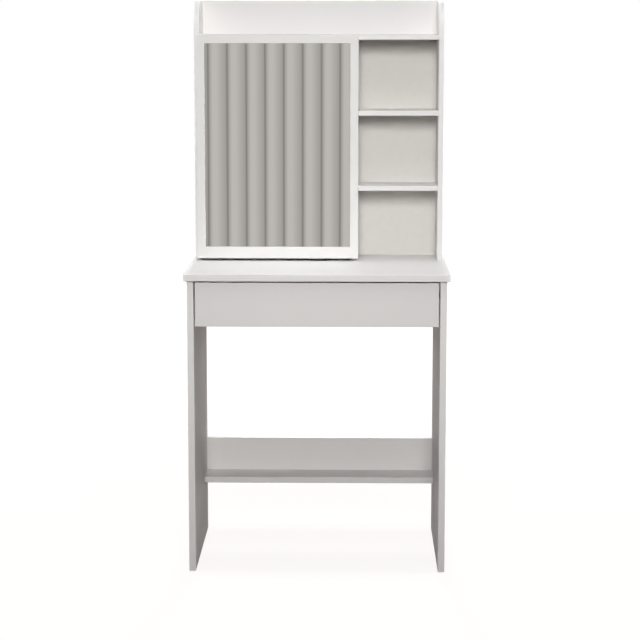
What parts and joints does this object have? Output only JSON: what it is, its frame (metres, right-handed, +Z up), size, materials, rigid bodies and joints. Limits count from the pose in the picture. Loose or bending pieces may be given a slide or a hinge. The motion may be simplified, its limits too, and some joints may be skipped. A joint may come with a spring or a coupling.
{
  "type": "dressing table",
  "caption": "Dressing table with panel legs, a flush drawer, a low rear shelf and a set-back hutch with open compartments beside a sliding mirror door.",
  "frame": {"origin": "on the floor, in the middle of the table's width and depth", "axes": "+X to the right as seen from the front, +Y to the rear, +Z up; the front faces -Y"},
  "size_m": [0.6, 0.4, 1.3],
  "materials": {
    "white_laminate": "white melamine film on particle board, satin, fine texture",
    "door_frame_foil": "white foil wrapped on fibreboard, satin",
    "white_hardboard": "thin hardboard, white lacquered face",
    "brown_hardboard": "thin bare hardboard",
    "mirror": "silvered float glass",
    "zinc_steel": "rolled steel strip, bright zinc plated",
    "cast_zinc": "die-cast zinc, raw",
    "aluminium": "extruded, natural anodised",
    "white_nylon": "moulded nylon, matt",
    "dark_nylon": "moulded nylon, black, matt",
    "glide_plastic": "moulded plastic, matt",
    "beech": "fluted beech dowel, bare"
  },
  "bodies": {
    "table": {"tabletop": "white_laminate", "left_leg_panel": "white_laminate", "right_leg_panel": "white_laminate", "rear_apron": "white_laminate", "lower_back_rail": "white_laminate", "lower_shelf": "white_laminate", "hutch_left_side": "white_laminate", "hutch_right_side": "white_laminate", "hutch_top_board": "white_laminate", "hutch_divider": "white_laminate", "gallery_rail": "white_laminate", "hutch_back_panel": "white_hardboard", "left_lower_shelf": "white_laminate", "left_upper_shelf": "white_laminate", "right_lower_shelf": "white_laminate", "right_upper_shelf": "white_laminate", "foot_glides": "glide_plastic", "door_runners": "white_nylon", "door_floor_guide": "dark_nylon", "cam_locks": "cast_zinc", "cam_bolts": "zinc_steel", "wood_dowels": "beech", "left_slide_outer": "zinc_steel", "right_slide_outer": "zinc_steel"},
    "mirror_door": {"door_left_stile": "door_frame_foil", "door_right_stile": "door_frame_foil", "door_top_rail": "door_frame_foil", "door_bottom_rail": "door_frame_foil", "mirror_glass": "mirror", "door_backing": "brown_hardboard", "door_channel": "aluminium", "channel_stops": "white_nylon", "door_dowels": "beech"},
    "drawer": {"drawer_front": "white_laminate", "drawer_left_side": "white_laminate", "drawer_right_side": "white_laminate", "drawer_back": "white_laminate", "drawer_bottom": "white_hardboard", "drawer_cam_locks": "cast_zinc", "drawer_cam_bolts": "zinc_steel", "drawer_dowels": "beech", "left_slide_inner": "zinc_steel", "right_slide_inner": "zinc_steel"},
    "left_middle_slide": {"left_slide_middle": "zinc_steel"},
    "right_middle_slide": {"right_slide_middle": "zinc_steel"},
    "left_outer_cage": {"left_outer_ball_cage": "zinc_steel"},
    "right_outer_cage": {"right_outer_ball_cage": "zinc_steel"},
    "left_inner_cage": {"left_inner_ball_cage": "zinc_steel"},
    "right_inner_cage": {"right_inner_ball_cage": "zinc_steel"}
  },
  "joints": [
    {"name": "drawer_slide", "type": "slide", "parent": "table", "child": "drawer", "axis": [0, -1, 0], "range_m": [0, 0.28]},
    {"name": "left_middle_slide_travel", "type": "slide", "parent": "table", "child": "left_middle_slide", "axis": [0, -1, 0], "range_m": [0, 0.14]},
    {"name": "right_middle_slide_travel", "type": "slide", "parent": "table", "child": "right_middle_slide", "axis": [0, -1, 0], "range_m": [0, 0.14]},
    {"name": "left_outer_cage_travel", "type": "slide", "parent": "table", "child": "left_outer_cage", "axis": [0, -1, 0], "range_m": [0, 0.07]},
    {"name": "right_outer_cage_travel", "type": "slide", "parent": "table", "child": "right_outer_cage", "axis": [0, -1, 0], "range_m": [0, 0.07]},
    {"name": "left_inner_cage_travel", "type": "slide", "parent": "table", "child": "left_inner_cage", "axis": [0, -1, 0], "range_m": [0, 0.21]},
    {"name": "right_inner_cage_travel", "type": "slide", "parent": "table", "child": "right_inner_cage", "axis": [0, -1, 0], "range_m": [0, 0.21]},
    {"name": "mirror_door_slide", "type": "slide", "parent": "table", "child": "mirror_door", "axis": [1, 0, 0], "range_m": [0, 0.194]}
  ],
  "couplings": [
    {"joint": "left_middle_slide_travel", "follows": "drawer_slide", "ratio": 0.5},
    {"joint": "right_middle_slide_travel", "follows": "drawer_slide", "ratio": 0.5},
    {"joint": "left_outer_cage_travel", "follows": "drawer_slide", "ratio": 0.25},
    {"joint": "right_outer_cage_travel", "follows": "drawer_slide", "ratio": 0.25},
    {"joint": "left_inner_cage_travel", "follows": "drawer_slide", "ratio": 0.75},
    {"joint": "right_inner_cage_travel", "follows": "drawer_slide", "ratio": 0.75}
  ]
}
